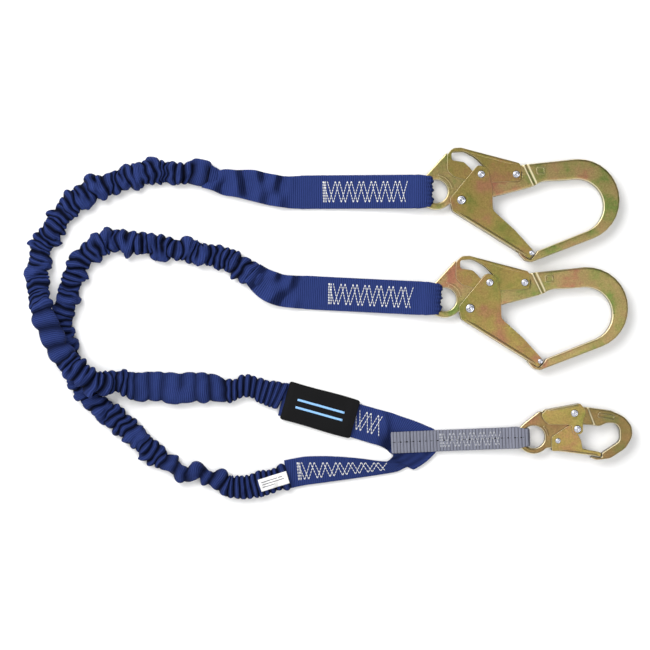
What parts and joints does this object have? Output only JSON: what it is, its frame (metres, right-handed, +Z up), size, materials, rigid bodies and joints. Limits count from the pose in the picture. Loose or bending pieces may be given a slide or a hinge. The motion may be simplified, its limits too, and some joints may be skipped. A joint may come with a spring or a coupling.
{
  "type": "shock absorbing lanyard",
  "caption": "Twin-leg elastic fall-arrest lanyard with self-closing rebar hooks on its legs and a snap hook on a short strap, laid flat.",
  "frame": {"origin": "on the surface that it lies on, below the middle of the hooks and flat webs", "axes": "+X from the legs' bends towards the hooks, +Y across the legs, +Z up from the surface"},
  "size_m": [0.7266, 0.4222, 0.0382],
  "materials": {
    "blue_webbing": "woven polyester with fine cross ribs",
    "elastic_core": "braided elastic yarn",
    "grey_webbing": "heavy ribbed polyester webbing with a black tracer",
    "black_cover": "matt fleece-like woven cover",
    "white_label": "smooth printed satin",
    "zinc_plated_steel": "yellow dichromate zinc, mottled olive gold",
    "bright_rivets": "bright zinc",
    "spring_wire": "drawn wire"
  },
  "bodies": {
    "webbing": {"leg_a_elastic_sleeve": "blue_webbing", "leg_b_elastic_sleeve": "blue_webbing", "leg_a_hook_web": "blue_webbing", "leg_b_hook_web": "blue_webbing", "centre_web": "blue_webbing", "leg_a_shock_core": "elastic_core", "leg_b_shock_core": "elastic_core", "connector_strap": "grey_webbing", "label_cover": "black_cover", "care_label": "white_label"},
    "hook_a_forging": {"hook_a_body": "zinc_plated_steel", "hook_a_lever_pivot_rivet": "bright_rivets", "hook_a_gate_pivot_rivet": "bright_rivets"},
    "hook_a_gate_assembly": {"hook_a_gate": "zinc_plated_steel", "hook_a_gate_spring": "spring_wire", "hook_a_lock_pin": "bright_rivets", "hook_a_nose_pin": "bright_rivets"},
    "hook_a_lever_assembly": {"hook_a_lock_lever": "zinc_plated_steel", "hook_a_lever_spring": "spring_wire"},
    "hook_b_forging": {"hook_b_body": "zinc_plated_steel", "hook_b_lever_pivot_rivet": "bright_rivets", "hook_b_gate_pivot_rivet": "bright_rivets"},
    "hook_b_gate_assembly": {"hook_b_gate": "zinc_plated_steel", "hook_b_gate_spring": "spring_wire", "hook_b_lock_pin": "bright_rivets", "hook_b_nose_pin": "bright_rivets"},
    "hook_b_lever_assembly": {"hook_b_lock_lever": "zinc_plated_steel", "hook_b_lever_spring": "spring_wire"},
    "snap_hook_forging": {"snap_hook_body": "zinc_plated_steel", "snap_hook_lever_pivot_rivet": "bright_rivets", "snap_hook_gate_pivot_rivet": "bright_rivets"},
    "snap_hook_gate_assembly": {"snap_hook_gate": "zinc_plated_steel", "snap_hook_gate_spring": "spring_wire"},
    "snap_hook_lever_assembly": {"snap_hook_lock_lever": "zinc_plated_steel", "snap_hook_lever_spring": "spring_wire", "snap_hook_lock_pin": "bright_rivets"}
  },
  "joints": [
    {"name": "hook_a_swivel", "type": "hinge", "parent": "webbing", "child": "hook_a_forging", "pos_m": [0.0012, 0.1516, 0.011], "axis": [0, 0, 1], "range_deg": [0, 20]},
    {"name": "hook_a_gate_hinge", "type": "hinge", "parent": "hook_a_forging", "child": "hook_a_gate_assembly", "pos_m": [0.0312, 0.141, 0.011], "axis": [0, 0, 1], "range_deg": [0, 45], "stiffness_Nm_per_rad": 0.06, "springref_deg": -28.65},
    {"name": "hook_a_lever_hinge", "type": "hinge", "parent": "hook_a_forging", "child": "hook_a_lever_assembly", "pos_m": [0.0962, 0.1716, 0.011], "axis": [0, 0, 1], "range_deg": [0, 14], "stiffness_Nm_per_rad": 0.03, "springref_deg": -22.92},
    {"name": "hook_b_swivel", "type": "hinge", "parent": "webbing", "child": "hook_b_forging", "pos_m": [0.0114, 0.0233, 0.011], "axis": [0, 0, 1], "range_deg": [-12, 0]},
    {"name": "hook_b_gate_hinge", "type": "hinge", "parent": "hook_b_forging", "child": "hook_b_gate_assembly", "pos_m": [0.0414, 0.0127, 0.011], "axis": [0, 0, 1], "range_deg": [0, 45], "stiffness_Nm_per_rad": 0.06, "springref_deg": -28.65},
    {"name": "hook_b_lever_hinge", "type": "hinge", "parent": "hook_b_forging", "child": "hook_b_lever_assembly", "pos_m": [0.1064, 0.0433, 0.011], "axis": [0, 0, 1], "range_deg": [0, 14], "stiffness_Nm_per_rad": 0.03, "springref_deg": -22.92},
    {"name": "snap_hook_swivel", "type": "hinge", "parent": "webbing", "child": "snap_hook_forging", "pos_m": [0.1171, -0.1402, 0.011], "axis": [0, 0, 1], "range_deg": [-20, 0]},
    {"name": "snap_hook_gate_hinge", "type": "hinge", "parent": "snap_hook_forging", "child": "snap_hook_gate_assembly", "pos_m": [0.1456, -0.1444, 0.011], "axis": [0, 0, 1], "range_deg": [0, 30], "stiffness_Nm_per_rad": 0.03, "springref_deg": -28.65},
    {"name": "snap_hook_lever_hinge", "type": "hinge", "parent": "snap_hook_forging", "child": "snap_hook_lever_assembly", "pos_m": [0.1651, -0.1117, 0.011], "axis": [0, 0, 1], "range_deg": [0, 12.5], "stiffness_Nm_per_rad": 0.015, "springref_deg": -22.92}
  ],
  "couplings": [
    {"joint": "hook_a_lever_hinge", "follows": "hook_a_gate_hinge", "ratio": 0.3},
    {"joint": "hook_b_lever_hinge", "follows": "hook_b_gate_hinge", "ratio": 0.3},
    {"joint": "snap_hook_lever_hinge", "follows": "snap_hook_gate_hinge", "ratio": 0.4}
  ]
}
